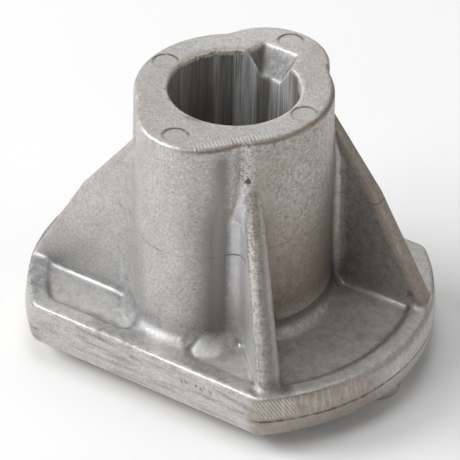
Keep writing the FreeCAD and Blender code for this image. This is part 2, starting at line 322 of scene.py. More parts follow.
def casting_field():
    """Distance from the whole casting: plate, hub, webs and pegs joined with fillets, then the bore,
    the key slot and the ejector marks taken out."""
    rim = plate_outline(0, PLATE_CORNER)
    hub = hub_field()
    upright, nearest_web = with_webs(hub, rim)
    body = joined(plate_field(rim), upright, foot_radius(hub, nearest_web))
    body = joined(body, peg_field(), PEG_FILLET)
    body = body + SKIN_SHRINK + SKIN_WAVE * skin_waves() + joint_groove()
    body = common(body, BORE_RADIUS - from_axis, MOUTH_ROUNDING)
    slot, slot_edge = slot_field()
    body = common(body, -slot, slot_edge)
    for mark_x, mark_y in MARK_PLACES:
        mark = np.hypot(x - mark_x, y - mark_y) - MARK_RADIUS
        body = np.maximum(body, -np.maximum(mark, HUB_TOP - MARK_DEPTH - z))
    return body.astype(np.float32)


# Mesh: the zero level of the field, with its points drawn onto the level and normals from its slope.
FIELD_REACH = 3.0
FLAT_MERGE = 0.0012
SHELTER_CELLS = 8


def at_places(values, places):
    """Values of a grid at free places, mixed in proportion from the eight grid points around each."""
    cell = np.clip((places - GRID_LOW) / GRID_STEP, 0, grid_cells - 1.001)
    base = cell.astype(int)
    share = (cell - base).astype(np.float32)
    total = 0
    for corner in np.ndindex(2, 2, 2):
        weight = np.prod(np.where(corner, share, 1 - share), axis=1)
        i, j, k = (base + corner).T
        total = total + weight * values[i, j, k]
    return total


def blurred(values, reach):
    """Mean of a grid over a cube that reaches some cells each way: a running sum along each axis."""
    for axis in range(3):
        margins = [(reach + 1, reach) if a == axis else (0, 0) for a in range(3)]
        sums = np.cumsum(np.pad(values, margins, mode="edge"), axis=axis, dtype=np.float64)
        count = values.shape[axis]
        last = np.take(sums, np.arange(2 * reach + 1, 2 * reach + 1 + count), axis=axis)
        first = np.take(sums, np.arange(count), axis=axis)
        values = ((last - first) / (2 * reach + 1)).astype(np.float32)
    return values


field = casting_field()
grid = openvdb.FloatGrid(FIELD_REACH)
grid.copyFromArray(np.clip(field, -FIELD_REACH, FIELD_REACH))
points, triangles, quads = grid.convertToPolygons(isovalue=0.0, adaptivity=FLAT_MERGE)
places = points * GRID_STEP + GRID_LOW
slopes = [slope.astype(np.float32) for slope in np.gradient(field, GRID_STEP)]
for attempt in range(2):
    normals = np.stack([at_places(slope, places) for slope in slopes], axis=1)
    steepness = np.maximum(np.sum(normals ** 2, axis=1, keepdims=True), 0.1)
    places = places - at_places(field, places)[:, None] * normals / steepness
normals = np.stack([at_places(slope, places) for slope in slopes], axis=1)
normals /= np.linalg.norm(normals, axis=1, keepdims=True)
bend = sum(np.gradient(slope, GRID_STEP, axis=axis) for axis, slope in enumerate(slopes))
bend = at_places(blurred(bend.astype(np.float32), 1), places)
shelter = at_places(blurred((field < 0).astype(np.float32), SHELTER_CELLS), places)

corners = np.concatenate([triangles.ravel(), quads.ravel()]).astype(np.int32)
sides = np.concatenate([np.full(len(triangles), 3), np.full(len(quads), 4)]).astype(np.int32)
starts = np.concatenate([[0], np.cumsum(sides)[:-1]]).astype(np.int32)
mesh = bpy.data.meshes.new("casting")
mesh.vertices.add(len(places))
mesh.loops.add(len(corners))
mesh.polygons.add(len(sides))
mesh.vertices.foreach_set("co", (places / 1000).astype(np.float32).ravel())
mesh.loops.foreach_set("vertex_index", corners)
mesh.polygons.foreach_set("loop_start", starts)
mesh.polygons.foreach_set("loop_total", sides)
mesh.polygons.foreach_set("use_smooth", np.ones(len(sides), dtype=bool))
mesh.update(calc_edges=True)
mesh.validate()
mesh.normals_split_custom_set_from_vertices(normals)
casting = bpy.data.objects.new("casting", mesh)
bpy.context.scene.collection.objects.link(casting)

# Skin zones: where the casting is stained or smooth, where shade is painted on it, darker and duller, and
# where sheen and light are painted on it, paler. Each zone is a strength and a ramp on some measures of a
# point: its place, its distance from the axis, how it bends and which way it faces.
# The rib measures run along the ribs' diagonal, and across it with the lobe's side below zero.
DIAGONAL = math.sqrt(0.5)
HARD = 1e-6
IN_RIB_QUARTER = (0, 1)
GUSSET_RIDGE_HALF = 2.4
RIB_RIDGE_HALF = 2.2

point_x, point_y, point_z = places.T
rib_half = np.sign(point_x - point_y)
measures = {
    "x": point_x,
    "y": point_y,
    "z": point_z,
    "x_size": np.abs(point_x),
    "y_size": np.abs(point_y),
    "out": np.hypot(point_x, point_y),
    "bend": bend,
    "facing_x": normals[:, 0],
    "facing_x_size": np.abs(normals[:, 0]),
    "facing_y": normals[:, 1],
    "facing_up": normals[:, 2],
    "sum": point_x + point_y,
    "difference": point_x - point_y,
    "rib_quarter": np.where(point_x * point_y < 0, 1, 0),
    "rib_along": (point_x - point_y) * rib_half * DIAGONAL,
    "rib_across": (point_x + point_y) * rib_half * DIAGONAL,
    "rib_lean": (normals[:, 0] + normals[:, 1]) * rib_half * DIAGONAL,
    "rib_over": over_ridge(np.abs(point_x - point_y) * DIAGONAL, point_z, RIB_RIDGE),
    "gusset_side": point_y * np.sign(point_x),
    "gusset_over": over_ridge(np.abs(point_x), point_z, GUSSET_RIDGE),
    "flank": np.degrees(np.arctan2(np.abs(point_y) - LOBE_OFFSET, np.abs(point_x))),
}


def above(limit):
    """Ramp that is a plain limit: 0 up to a value and 1 over it."""
    return limit, limit + HARD


def under(limit):
    """Ramp that is a plain limit: 1 up to a value and 0 over it."""
    return limit, limit - HARD


def between(low, high):
    """Ramp that is 1 between two plain limits."""
    return low, low + HARD, high - HARD, high


def stepped(values, low, high):
    """Straight rise from 0 at one value to 1 at another."""
    return np.clip((values - low) / (high - low), 0, 1)


def zone(strength, **ramps):
    """Strength times one ramp for each named measure: from 0 at the ramp's first value to 1 at its
    second and, where it has four, from 1 at the third back to 0 at the last."""
    share = strength
    for name, ramp in ramps.items():
        share = share * stepped(measures[name], ramp[0], ramp[1])
        if len(ramp) == 4:
            share = share * stepped(measures[name], ramp[3], ramp[2])
    return share


def right_foot(strength, z_ramp, **ramps):
    """Zone of the hub's foot fillet between the front rib and the right gusset."""
    return zone(strength, x=(8, 11), sum=(0.5, 2.5), y=(9.5, 8.5), out=(27, 25), z=z_ramp, **ramps)


def right_gusset_face():
    """Zone of the right gusset's front face."""
    return zone(0.7, x=above(13), facing_y=under(-0.9), y=(8.7, 9.2, 11.2, 11.7), z=(8, 9))


def stain_and_shade_share():
    """How much brown each point takes, the strongest of its zones: stain on the ridges, the front lobe, the
    arc's edge, the pegs, the mouth, the top edge and the slot; stain with painted shade on the hub's shaded
    right side and its foot; painted warm shade on the arc's right front; and a browner band below the
    joint.
    """
    ridge_start = dict(out=(HUB_RADIUS - 0.4, HUB_RADIUS + 0.3), z=(8.0, 8.4))
    on_gusset = between(GUSSET_OFFSET - GUSSET_RIDGE_HALF, GUSSET_OFFSET + GUSSET_RIDGE_HALF)
    gusset_ridges = zone(1, gusset_over=(-1.5, -0.5), gusset_side=on_gusset, **ridge_start)
    gusset_ridges = gusset_ridges * np.where(point_x > 0, 0.9, 0.3)
    off_lobe = (-0.8, 0.1, RIB_RIDGE_HALF - HARD, RIB_RIDGE_HALF)
    rib_ridges = zone(0.62, rib_over=(-1.5, -0.5), rib_across=off_lobe, **ridge_start)
    # Stain with painted shade: brown and darker on the hub's shaded right side.
    shaded_hub = zone(1, out=(13, 14, 20, 25), z=(8.5, 12.5, 45.5, 46.2), x=(1, 13))
    shaded_hub = shaded_hub * (0.55 + zone(0.45, z=(36, 12)))
    shaded_hub = shaded_hub * (1 - zone(0.35, x=(14, 16), z=(22, 34)))
    shaded_hub = shaded_hub * (1 - zone(1, x=above(13), y=(8.4, 9.2)))
    shaded_hub = shaded_hub * (1 - zone(0.35, sum=(-9.5, -7.5, -1.5, -0.5), difference=(19, 21)))
    patch = np.exp(-((point_x - 6.3) / 3.2) ** 2 - ((point_z - 30) / 12.0) ** 2)
    front_lobe = patch * zone(0.5, y=under(-12))
    # Stain with painted shade on the hub's shaded foot.
    foot = right_foot(0.75, (13, 11), bend=(-0.05, -0.2), facing_up=(0.85, 0.55))
    # A browner band below the joint line on the arcs.
    below_joint = zone(1, z=(3.8, 3.2), out=(33.5, 34.2))
    below_joint = below_joint * (0.5 - zone(0.35, y=(-8, -4), x=above(0)))
    # Painted warm shade on the arc's right front.
    right_arc = zone(0.7, out=(33.8, 34.4), z=(7.9, 7.5), x=(6, 18), y=(-3, -9))
    arc_edge = zone(0.85, out=(33.6, 34.2), z=(6.3, 6.9, 7.7, 7.95), x=(22, 27))
    pegs = zone(0.15, z=(0.1, -0.4))
    mouth_back = zone(0.7, z=(45.6, 46.0), out=(12.1, 11.7), difference=(-4, -10))
    top_edge = zone(1, z=(45.3, 46.0), out=(13.5, 14.5), bend=(0.3, 1.0))
    top_edge = top_edge * stepped(point_x - 0.3 * point_y, 6, 12)
    slot_left = zone(0.25, x=between(-4.5, -1.8), y=above(9), z=(*above(41), 45.9, 46.3), out=under(15))
    return np.max([
        gusset_ridges, rib_ridges, shaded_hub, front_lobe, foot, below_joint, right_arc, arc_edge, pegs,
        mouth_back, top_edge, slot_left,
    ], axis=0)


def smooth_share():
    """How smooth the die left each point: the sunken floors, hollows, key slot, the shaded gusset's
    face, the rim's land and the ejector marks."""
    floors = zone(1, facing_up=above(0.8), z=(6.5, 7.0, 7.4, 7.7))
    hollows = zone(0.8, bend=(-0.05, -0.4), z=(46.0, 45.5))
    slot = zone(1, x_size=under(4), y=(10, 11), out=(15.2, 14.6), z=between(40, 46.2))
    land = zone(0.6, facing_up=above(0.9), z=(7.7, 7.9, 8.3, 8.6))
    marks = 0
    for mark_x, mark_y in MARK_PLACES:
        away = np.hypot(point_x - mark_x, point_y - mark_y)
        marks = np.maximum(marks, stepped(away, MARK_RADIUS, MARK_RADIUS - 0.2))
    marks = marks * zone(0.35, z=above(46))
    return np.max([floors, hollows, slot, right_gusset_face(), land, marks], axis=0)


def shade_and_dull_share():
    """How much painted shade each point takes, with a duller, plainer finish: smooth flanks beside the
    ribs, feet, the slot and shaded ends.
    """
    upper = zone(1, z=(30, 39))
    lobe_flank = zone(1.1, flank=(27, 33), rib_quarter=IN_RIB_QUARTER, out=(*above(13), 20, 24), z=(46, 44))
    lobe_flank = lobe_flank * stepped(measures["flank"], 62 - 12 * upper, 46 - 8 * upper)
    gusset_feet = zone(0.45, gusset_side=(8, 9), x_size=(6.5, 8.5, 29, 32), out=above(13),
                       z=(7.6, 8.6, 9.5, 20), facing_up=under(0.75))
    slot = zone(1, x_size=under(5), out=(11.15, 11.35, 15.0, 15.4), y=above(8), z=(*above(40), 45.9, 46.3))
    slot = slot * (1.05 + zone(0.25, facing_x=(0.3, 0.6)))
    left_end = zone(1.2, x=(-30.5, -33.5))
    left_land = zone(0.7, x=(-21.5, -24.5), y=under(-14), z=(7.0, 7.6, 8.2 - HARD, 8.2))
    left_root = zone(1, bend=(-0.1, -0.25), x=(-15, -13.5, -9, -7.5), y=under(-13))
    left_root = left_root * (0.1 + zone(0.55, z=(22, 11)))
    lobe_foot = zone(0.8, x=(-13, -10, -3.5, 1), y=(-15, -17), z=(7.2, 7.6, 9.5, 12))
    lobe_left = zone(0.5, x=(-9.5, -8, -5, -3), y=under(-15), z=(9.5, 11, 14, 27))
    above_rib = zone(0.5, bend=(0, -0.1), rib_quarter=IN_RIB_QUARTER, x_size=(8.5, 10), y_size=(7, 9),
                     z=(36, 39, 45, 45.8))
    foot = right_foot(1, (12.5, 10.5), bend=(-0.1, -0.25)) * (0.3 + zone(0.9, facing_up=(0.8, 0.5)))
    rib_low = zone(0.8, rib_quarter=IN_RIB_QUARTER, rib_across=(-2.970, -2.546, -1.273, -0.707),
                   out=(20, 22), z=(8.2, 9.0, 18, 27))
    floor_by_rib = zone(0.3, rib_quarter=IN_RIB_QUARTER, rib_across=(0.707, 2.121, 3.536, 9.899),
                        z=(*above(7), 7.5, 7.9))
    rib_toe = zone(1.1, out=(31, 32), z=(7.86, 7.95, 9.5, 10.5), rib_quarter=IN_RIB_QUARTER,
                   rib_across=(-4.243, -3.182, 3.182, 4.243))
    floor_end = zone(1.2, rib_quarter=IN_RIB_QUARTER, x_size=(4.7, 5.2, 5.8, 6.4),
                     y_size=(15.5, 17, 20.5, 22), z=(*above(7.1), 8.0, 8.6), facing_x_size=above(0.15))
    return np.max([
        lobe_flank, gusset_feet, slot, left_end, left_land, left_root, lobe_foot, lobe_left, above_rib,
        right_gusset_face(), foot, rib_low, floor_by_rib, rib_toe, floor_end,
    ], axis=0)


def pale_share():
    """How much painted sheen the hollow between each lobe and its rib takes: a paler, glossier band."""
    hollow = zone(1, rib_across=(-7, -6, -1.4, -1.0), rib_along=(14, 15.5), rib_lean=(0.25, 0),
                  bend=(0.2, 0), z=(7.6, 9, 38, 40))
    return hollow * (0.5 + zone(0.5, z=(12, 18)))


def painted_light_share():
    """How much painted light each point takes, with less metal: the rib's face to its lobe, the foot and
    the floor below it, the gusset's root and the left floor's end."""
    rib_face = zone(1, rib_across=(-4.5, -3.5, -1.4, -1.0), rib_along=(15, 16), rib_lean=(-0.55, -0.85),
                    bend=(0.25, 0), z=(7.8, 8.6))
    rib_face = rib_face * (0.6 + zone(0.4, z=(14, 27)))
    foot = zone(0.85, facing_up=(0.2, 0.5, 0.96, 0.995), z=(7.2, 7.35, 9.5, 10.5),
                rib_across=(-3.111, -3.960), rib_quarter=IN_RIB_QUARTER, y_size=above(14),
                x_size=(5.8, 7.4), out=(24, 22.5))
    floor = zone(0.2, facing_up=above(0.9), z=(7.6, 7.3), rib_quarter=IN_RIB_QUARTER, rib_across=under(0))
    gusset_root = zone(0.65, gusset_side=(8.5, 9.2, 12 - HARD, 12), x_size=(14, 14.7), bend=(-0.1, -0.3),
                       z=(10, 13, 36, 42))
    left_end = zone(0.9, facing_x=(0.15, 0.35), z=(7.1, 7.3, 7.95, 8.1), x=(-24, -26), y=under(-10))
    return np.max([rib_face, foot, floor, gusset_root, left_end], axis=0)


def cream_share():
    """Painted light on the half of the rib's ridge that turns to its lobe."""
    ridge = zone(1, rib_over=(-1.7, -1.1), rib_across=(*above(-2.3), -0.6, 0.4), rib_along=(15.8, 16.4),
                 z=(8.2, 8.6))
    return ridge * (0.35 + zone(0.65, z=(14, 28)))


skin_shares = {
    "edge": np.clip(bend / 1.5, 0, 1),
    "hollow": np.clip(-bend / 0.35, 0, 1),
    "tight": stepped(bend, -0.5, -0.9),
    "shelter": np.clip((shelter - 0.5) * 3, 0, 1),
    "stain_and_shade": stain_and_shade_share(),
    "smooth": smooth_share(),
    "shade_and_dull": shade_and_dull_share(),
    "pale": pale_share(),
    "painted_light": painted_light_share(),
    "cream": cream_share(),
}
for name, values in skin_shares.items():
    layer = mesh.attributes.new(name, "FLOAT", "POINT")
    layer.data.foreach_set("value", values.astype(np.float32))

# Material: light warm grey with the frosted grain of a die casting. Where the die is smooth, in fillets and
# on the sunken floors, it is plainer and cooler. Edges are worn bright and ridges stained brown. Painted
# shade darkens the nooks, the hub's shaded side and some feet and flanks, and painted light and sheen make
# the hollows by the ribs and a few feet paler.
LIGHT_SKIN = (0.567, 0.553, 0.54, 1)
WARM_SKIN = (0.50, 0.45, 0.418, 1)
SMOOTH_AND_SHADE_SKIN = (0.53, 0.53, 0.53, 1)
WARM_LIT_SMOOTH_AND_SHADE = (0.56, 0.54, 0.51, 1)
PALE_SKIN = (0.695, 0.715, 0.745, 1)
NEUTRAL_PALE = (0.725, 0.72, 0.705, 1)
WARM_PALE = (0.74, 0.665, 0.625, 1)
STAIN_AND_SHADE = (0.27, 0.212, 0.155, 1)
DARK_MARK_AND_SHADE = (0.05, 0.044, 0.04, 1)
WEAR_AND_HIGHLIGHT = (0.76, 0.74, 0.70, 1)
TAN = (0.68, 0.615, 0.54, 1)
METALLIC = 0.9
ROUGHNESS = 0.48
RELIEF_STRENGTH = 0.6

material = bpy.data.materials.new("cast_aluminium")
material.use_nodes = True
nodes = material.node_tree.nodes
links = material.node_tree.links
shader = nodes["Principled BSDF"]


def feed(socket, value):
    """Links a socket to a node's output, or sets it to a number, vector or colour."""
    if isinstance(value, bpy.types.NodeSocket):
        links.new(value, socket)
    else:
        socket.default_value = value


def calculated(operation, first, second=0.0):
    """One step of arithmetic on two values."""
    step = nodes.new("ShaderNodeMath")
    step.operation = operation
    feed(step.inputs[0], first)
    feed(step.inputs[1], second)
    return step.outputs[0]


def product(*values):
    """All values multiplied."""
    total = values[0]
    for value in values[1:]:
        total = calculated("MULTIPLY", total, value)
    return total


def total_of(*values):
    """All values added."""
    total = values[0]
    for value in values[1:]:
        total = calculated("ADD", total, value)
    return total


def rest_of(value):
    """What is left of one after a value."""
    return calculated("SUBTRACT", 1.0, value)


def off(value, middle=0.5):
    """Distance of a value above its middle."""
    return calculated("SUBTRACT", value, middle)


def rise(value, low, high):
    """Smooth step from 0 at one value to 1 at another."""
    step = nodes.new("ShaderNodeMapRange")
    step.interpolation_type = "SMOOTHSTEP"
    feed(step.inputs["Value"], value)
    feed(step.inputs["From Min"], low)
    feed(step.inputs["From Max"], high)
    return step.outputs["Result"]


def within(value, low, high, soft):
    """1 between two values, fading to 0 over a soft margin outside them."""
    return product(rise(value, low - soft, low), rise(value, high + soft, high))


def combined(first, second, third):
    """Vector from three values."""
    step = nodes.new("ShaderNodeCombineXYZ")
    for socket, value in zip(step.inputs, (first, second, third)):
        feed(socket, value)
    return step.outputs[0]


def vector_step(operation, *values):
    """One step of vector arithmetic."""
    step = nodes.new("ShaderNodeVectorMath")
    step.operation = operation
    for socket, value in zip(step.inputs, values):
        feed(socket, value)
    return step.outputs["Value"] if operation in ("LENGTH", "DISTANCE") else step.outputs["Vector"]


def clouds(place, per_mm, detail=2.0, offset=0.0):
    """Noise from 0 to 1 around a half, with a number of waves per millimetre."""
    step = nodes.new("ShaderNodeTexNoise")
    feed(step.inputs["Vector"], vector_step("ADD", place, (offset, offset, offset)))
    feed(step.inputs["Scale"], per_mm)
    feed(step.inputs["Detail"], detail)
    return step.outputs["Fac"]


def grains(place, per_mm):
    """Random value for each grain of a cell pattern, and the distance from the grain's centre."""
    step = nodes.new("ShaderNodeTexVoronoi")
    feed(step.inputs["Vector"], place)
    feed(step.inputs["Scale"], per_mm)
    split = nodes.new("ShaderNodeSeparateColor")
    links.new(step.outputs["Color"], split.inputs[0])
    return split.outputs[0], step.outputs["Distance"]


def stripes(value, pitch):
    """Even stripes across a value: a sine from 0 to 1 with a pitch in millimetres."""
    wave = calculated("SINE", product(value, 2 * math.pi / pitch))
    return rise(wave, -0.2, 0.8)


def tinted(colour, tint, share):
    """Colour mixed with a tint by a share."""
    step = nodes.new("ShaderNodeMix")
    step.data_type = "RGBA"
    step.clamp_factor = True
    feed(step.inputs[0], share)
    feed(step.inputs[6], colour)
    feed(step.inputs[7], tint)
    return step.outputs[2]


def kept(name):
    """Value that the mesh keeps at each point under a name."""
    step = nodes.new("ShaderNodeAttribute")
    step.attribute_name = name
    return step.outputs["Fac"]


coordinates = nodes.new("ShaderNodeTexCoord")
place = vector_step("SCALE", coordinates.outputs["Object"])
place.node.inputs["Scale"].default_value = 1000
parts = nodes.new("ShaderNodeSeparateXYZ")
links.new(place, parts.inputs[0])
across_x, along_y, height = parts.outputs
out_from_axis = vector_step("LENGTH", combined(across_x, along_y, 0.0))
turn = calculated("ARCTAN2", along_y, across_x)
edge, hollow, tight, shelter, stain_and_shade, smooth, shade_and_dull, pale, painted_light, cream = (
    kept(name) for name in skin_shares
)

# Patterns from broad to fine, and the share of each point that has the frosted skin.
patches = clouds(place, 0.16, 3.0)
lumps = clouds(place, 0.75, 3.0, 11.0)
blotch = clouds(place, 1.25, 4.0, 61.0)
grain = clouds(place, 2.5, 3.0, 23.0)
frost = grains(place, 4.2)[0]
skin = rest_of(calculated("MAXIMUM", smooth, product(shade_and_dull, 0.8)))
top_face = rise(height, HUB_TOP - 0.5, HUB_TOP - 0.2)

# Bore: drag lines of the reamer run along it, in broad and fine bands round its wall, over a dark base that
# is painted shade. Each bright band is painted light where the lamps reach the wall, and has the turns
# where it begins and ends, in radians, and its strength.
BORE_DARK = (0.22, 0.205, 0.19, 1)
BORE_BRIGHT = (0.92, 0.93, 0.94, 1)
BRIGHT_BANDS = (
    (1.1, 1.3, 0.3), (1.38, 1.55, 0.45), (1.84, 2.12, 0.8), (2.385, 2.44, 0.3), (2.94, 3.07, 0.12),
)
near_bore = rise(out_from_axis, BORE_RADIUS + 0.4, BORE_RADIUS + 0.15)
ragged = total_of(height, product(off(lumps), 1.2), product(off(grain), 0.5))
in_bore = product(near_bore, rise(ragged, HUB_TOP - 0.5, HUB_TOP - 0.8))
lip = product(near_bore, rise(ragged, HUB_TOP - 1.0, HUB_TOP - 0.7))
round_bore = combined(product(turn, BORE_RADIUS), product(height, 0.03), 0.0)
broad_drag = clouds(round_bore, 0.55, 1.0, 5.3)
fine_drag = clouds(round_bore, 2.6, 3.0, 8.1)
even = rest_of(product(rise(calculated("ABSOLUTE", turn), 2.2, 2.5), 0.55))
drag_and_light = total_of(product(even, total_of(product(off(broad_drag), 0.5), off(fine_drag))), 0.15)
for low, high, lift in BRIGHT_BANDS:
    dragged = total_of(product(off(fine_drag), 3.0), 1.0)
    drag_and_light = total_of(drag_and_light, product(within(turn, low, high, 0.07), dragged, lift))
bore_colour = tinted(BORE_DARK, BORE_BRIGHT, drag_and_light)

# Skin tone: frosted grain over broad patches, coarser on the hub's right, plainer where the die is smooth,
# and lighter at the back of the top. A painted highlight lies round the mouth's rounded edge and painted
# light on the foot, and painted shade darkens the zones of shade and dullness.
to_right = total_of(product(across_x, 0.84), product(along_y, 0.545))
right_of_hub = product(
    rise(to_right, -15.0, 4.0), rise(height, HUB_TOP - 0.3, HUB_TOP - 0.7),
    rise(out_from_axis, 22.0, 20.0), 0.7,
)
frosted = total_of(product(off(grain), 0.72), product(off(frost), 0.2), product(off(lumps), 0.4))
tone = total_of(
    1.0,
    product(top_face, rise(along_y, 0.0, 18.0), rise(across_x, 7.0, -3.0), 0.17),
    product(rise(out_from_axis, 12.0, 11.5), rise(height, HUB_TOP - 0.6, HUB_TOP - 0.3), 0.2),
    product(painted_light, rise(height, 9.4, 8.6), rise(out_from_axis, 24.5, 23.0), 0.08),
    product(skin, total_of(1.0, right_of_hub), frosted),
    product(skin, off(blotch), total_of(product(right_of_hub, 1.5), stain_and_shade)),
    product(cream, off(grain), 0.4),
    product(stain_and_shade, skin, off(grain), 0.8),
    product(smooth, total_of(product(off(lumps), 0.6), product(off(grain), 0.5))),
    product(shade_and_dull, -0.4),
)
warmth = total_of(product(off(patches), 2.2), product(off(lumps), 0.9), 0.3)
colour = tinted(LIGHT_SKIN, WARM_SKIN, warmth)
# Smooth zones and painted shade take a plainer grey, warmer on the right: painted warm light from that
# side.
smooth_and_shade_colour = tinted(SMOOTH_AND_SHADE_SKIN, WARM_LIT_SMOOTH_AND_SHADE, rise(across_x, 6.0, 16.0))
colour = tinted(colour, smooth_and_shade_colour, total_of(smooth, shade_and_dull))
# Painted sheen: a paler, bluish band in the hollow between each lobe and its rib.
colour = tinted(colour, PALE_SKIN, pale)
# Painted light: a paler colour on the rib faces, the feet, the gusset roots and the left floor's end,
# warmer towards +y.
painted_light_colour = tinted(PALE_SKIN, NEUTRAL_PALE, rise(height, 11.0, 9.5))
painted_light_colour = tinted(painted_light_colour, WARM_PALE, rise(along_y, 4.0, 6.0))
colour = tinted(colour, painted_light_colour, painted_light)
colour = vector_step("MULTIPLY", colour, combined(tone, tone, tone))

# Stain and painted shade: brown stain on trimmed ridges, the front lobe, the arc's edge and the pegs; stain
# with painted shade on the hub's shaded right side and its foot, painted warm shade on the arc's right
# front, and a browner band below the joint; all broken up by the grain.
mottle = total_of(product(lumps, 0.4), product(blotch, 0.5), product(grain, 0.6), product(frost, 0.15))
mottled_stain_and_shade = product(stain_and_shade, rise(mottle, 0.45, 0.95))
colour = tinted(colour, STAIN_AND_SHADE, mottled_stain_and_shade)
# Painted shade in the nooks, by how enclosed each point is.
colour = tinted(colour, DARK_MARK_AND_SHADE, product(shelter, 0.2))

# Worn edges, painted glints and painted light: edges rubbed in broken runs, single grains painted bright as
# glints, and the half of the rib's ridge that faces its lobe painted lighter.
clean = rest_of(product(stain_and_shade, 0.7))
in_slot = product(rise(out_from_axis, 14.6, 14.2), rise(height, 45.9, 45.4), rise(height, 38.0, 40.0))
rubbed = product(edge, rise(total_of(lumps, product(off(grain), 0.8)), 0.35, 0.65), clean, rest_of(in_slot))
flecks = product(rise(frost, 0.88, 0.95), skin)
cream_grain = product(cream, rise(grain, 0.35, 0.6))
wear_and_highlight = total_of(product(rubbed, 0.5), product(flecks, 0.15), product(cream_grain, 0.55))
colour = tinted(colour, WEAR_AND_HIGHLIGHT, wear_and_highlight)
colour = tinted(colour, bore_colour, in_bore)
lip_colour = tinted(STAIN_AND_SHADE, TAN, rise(total_of(grain, product(off(lumps), 0.8)), 0.3, 0.55))
colour = tinted(colour, lip_colour, product(lip, rise(turn, 1.5, 2.0)))

# Painted light on the bore's wall at the right of the mouth, where the lamps reach in.
mouth_right = product(
    rise(out_from_axis, BORE_RADIUS + 0.5, BORE_RADIUS + 0.3), within(turn, 0.55, 0.86, 0.06),
    rise(height, 43.2, 44.2), rise(height, HUB_TOP - 0.05, HUB_TOP - 0.2),
)
colour = tinted(colour, WEAR_AND_HIGHLIGHT, product(mouth_right, 0.85))

# Parting line of the die round the hub and webs, and the joint line round the plate.
PARTING_HEIGHT = 25.2
line_height = total_of(height, product(off(patches), 0.12))
parting = product(
    within(line_height, PARTING_HEIGHT - 0.03, PARTING_HEIGHT + 0.03, 0.14),
    rise(out_from_axis, 13.0, 14.0),
    total_of(product(hollow, 0.3), product(rise(patches, 0.45, 0.6), 0.7), 0.12),
)
on_wall = rise(out_from_axis, 34.2, 34.8)
on_flat = rise(calculated("ABSOLUTE", along_y), 26.0, 26.3)
broken = total_of(0.55, product(rise(lumps, 0.38, 0.62), 0.45))
seen_end = product(rise(across_x, -20.0, -26.0), rise(along_y, -8.0, -12.0))
joint_height = total_of(height, product(off(patches), 0.7))
joint = product(
    within(joint_height, JOINT_HEIGHT - 0.12, JOINT_HEIGHT + 0.12, 0.2), rest_of(seen_end),
    total_of(product(on_wall, broken), product(on_flat, rise(lumps, 0.5, 0.7), 0.3)),
)
lines = total_of(product(parting, 0.7), product(joint, 0.75))

# Scratches and streaks along the flats, file strokes near the rib corner and rubbed ticks round the rim.
STROKE_PITCH = 0.62
FLAT_STROKE_PITCH = 0.7
scored = clouds(combined(product(across_x, 0.28), 0.0, product(height, 3.2)), 1.0, 3.0, 31.0)
scratches = product(on_flat, rise(scored, 0.57, 0.72), rise(grain, 0.3, 0.6))
streaks = clouds(combined(product(across_x, 0.12), 0.0, product(height, 1.1)), 1.0, 3.0, 47.0)
dark_streaks = product(rise(streaks, 0.5, 0.72), total_of(product(rise(grain, 0.3, 0.7), 0.4), 0.15))
colour = tinted(colour, DARK_MARK_AND_SHADE, product(on_flat, dark_streaks))
colour = tinted(colour, WEAR_AND_HIGHLIGHT, product(on_flat, rise(streaks, 0.48, 0.3), 0.4))
round_rim = product(turn, PLATE_RADIUS)
filed_arc = product(
    stripes(total_of(round_rim, product(height, 0.7)), STROKE_PITCH), on_wall,
    within(height, 4.4, 7.4, 0.4), within(turn, -0.85, -0.71, 0.06),
)
filed_flat = product(
    stripes(total_of(across_x, product(height, 0.6)), FLAT_STROKE_PITCH), on_flat,
    within(height, 0.8, 2.8, 0.4), within(across_x, 6.0, 22.0, 2.0),
)
ticked = clouds(combined(product(round_rim, 1.6), product(height, 0.25), 0.0), 1.0, 2.0, 3.0)
ticks = product(rise(ticked, 0.5, 0.62), on_wall, within(height, 4.2, 7.6, 0.4))
filed = total_of(product(filed_arc, 1.2), product(filed_flat, 0.6), product(ticks, 0.45))

# Row of short notches across the top edge over the front rib.
along_row = total_of(product(across_x, 0.63), product(along_y, 0.777))
out_of_row = total_of(product(across_x, 0.777), product(along_y, -0.63))
notches = product(
    stripes(along_row, STROKE_PITCH), within(along_row, -11.6, 1.6, 0.6),
    within(out_of_row, 14.3, 15.6, 0.25), top_face,
)

# Ejector marks: painted shade, a thin dark ring round the back of each recess, on the side the light
# misses.
rings = 0.0
for mark_x, mark_y in MARK_PLACES:
    away = vector_step("DISTANCE", place, (mark_x, mark_y, HUB_TOP - MARK_DEPTH))
    ring = within(away, MARK_RADIUS - 0.26, MARK_RADIUS + 0.06, 0.14)
    to_back = total_of(product(off(across_x, mark_x), -0.55), product(off(along_y, mark_y), 0.83))
    rings = total_of(product(ring, rise(to_back, -1.0, 1.5)), rings)
lines = total_of(lines, product(rings, rise(lumps, 0.25, 0.5), 0.8))

# Pits: each has its place, reach and depth. Small pores are strewn over the skin.
PITS = (
    ((11.2, -12.6, 39.1), 0.9, 1.0),
    ((21.5, -26.7, 7.2), 0.5, 1.0),
    ((-5.0, -20.1, 8.2), 0.5, 0.9),
    ((29.6, 10.2, 10.1), 1.0, 0.5),
    ((27.0, -1.2, 7.2), 2.2, 0.45),
    ((7.8, -26.6, 5.3), 0.45, 0.6),
    ((8.8, -26.6, 5.4), 0.5, 0.5),
    ((10.8, -26.5, 5.6), 0.4, 0.6),
    ((11.8, -26.5, 5.4), 0.5, 0.5),
    ((12.4, -26.5, 5.7), 0.4, 0.35),
    ((13.6, -26.5, 5.5), 0.5, 0.5),
)
pits = 0.0
for pit_place, reach, depth in PITS:
    away = total_of(vector_step("DISTANCE", place, pit_place), product(off(grain), 0.8))
    pits = total_of(product(rise(away, reach, 0.1), depth), pits)
pore, pore_away = grains(place, 0.55)
pores = product(rise(pore_away, 0.15, 0.06), rise(pore, 0.84, 0.86), skin)
pits = total_of(pits, product(pores, 0.35))

